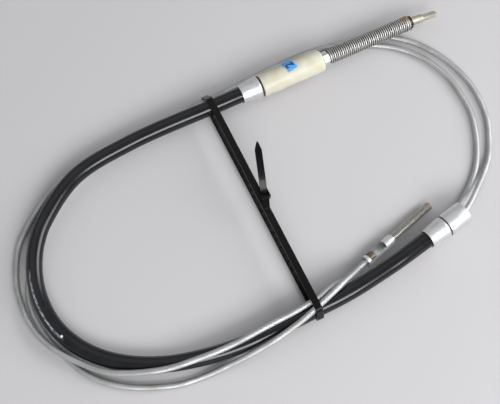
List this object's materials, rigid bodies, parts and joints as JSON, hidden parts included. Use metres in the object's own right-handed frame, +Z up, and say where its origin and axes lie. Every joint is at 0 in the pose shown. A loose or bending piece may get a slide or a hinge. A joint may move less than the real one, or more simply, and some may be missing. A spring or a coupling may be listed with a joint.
{
  "type": "clutch cable",
  "caption": "Clutch cable tied up as a hank: bare wire rope through a black conduit with a sleeve and spring at one end, a cap at the other, and a threaded stud on the free rope.",
  "frame": {"origin": "on the surface that the hank lies on, under the middle of its bounding box", "axes": "+Z up from the surface, +X along the hank's long way, +Y toward the side with the spring"},
  "size_m": [0.3342, 0.2793, 0.0398],
  "materials": {
    "aluminium": "bright, lightly scuffed",
    "black_rubber": "matt",
    "ivory_nylon": "satin, slightly yellowed",
    "blue_paper": "printed label, matt",
    "bright_zinc": "bright zinc plate",
    "spring_steel": "bright wire with rust at the far turns",
    "brown_steel": "dull, brown film",
    "dull_zinc": "dull yellowish zinc",
    "black_vinyl": "satin, finely ribbed",
    "wound_steel": "plain wound wire",
    "clear_liner": "milky",
    "galvanised_rope": "galvanised strands",
    "black_nylon": "glossy"
  },
  "bodies": {
    "root": {"ferrule_sleeve_end": "aluminium", "seal_ring_sleeve_end": "black_rubber", "guide_sleeve": "ivory_nylon", "number_label": "blue_paper", "spring_seat": "bright_zinc", "return_spring": "spring_steel", "spring_keeper": "brown_steel", "end_rod": "dull_zinc", "ferrule_cap_end": "aluminium", "seal_ring_cap_end": "black_rubber", "end_cap": "aluminium", "coupling_sleeve": "bright_zinc", "rope_nipple": "brown_steel", "adjuster_stud": "dull_zinc", "conduit_jacket": "black_vinyl", "conduit_armour": "wound_steel", "conduit_liner": "clear_liner", "rope_in_conduit": "galvanised_rope", "bare_rope": "galvanised_rope", "cable_tie": "black_nylon"}
  },
  "joints": []
}
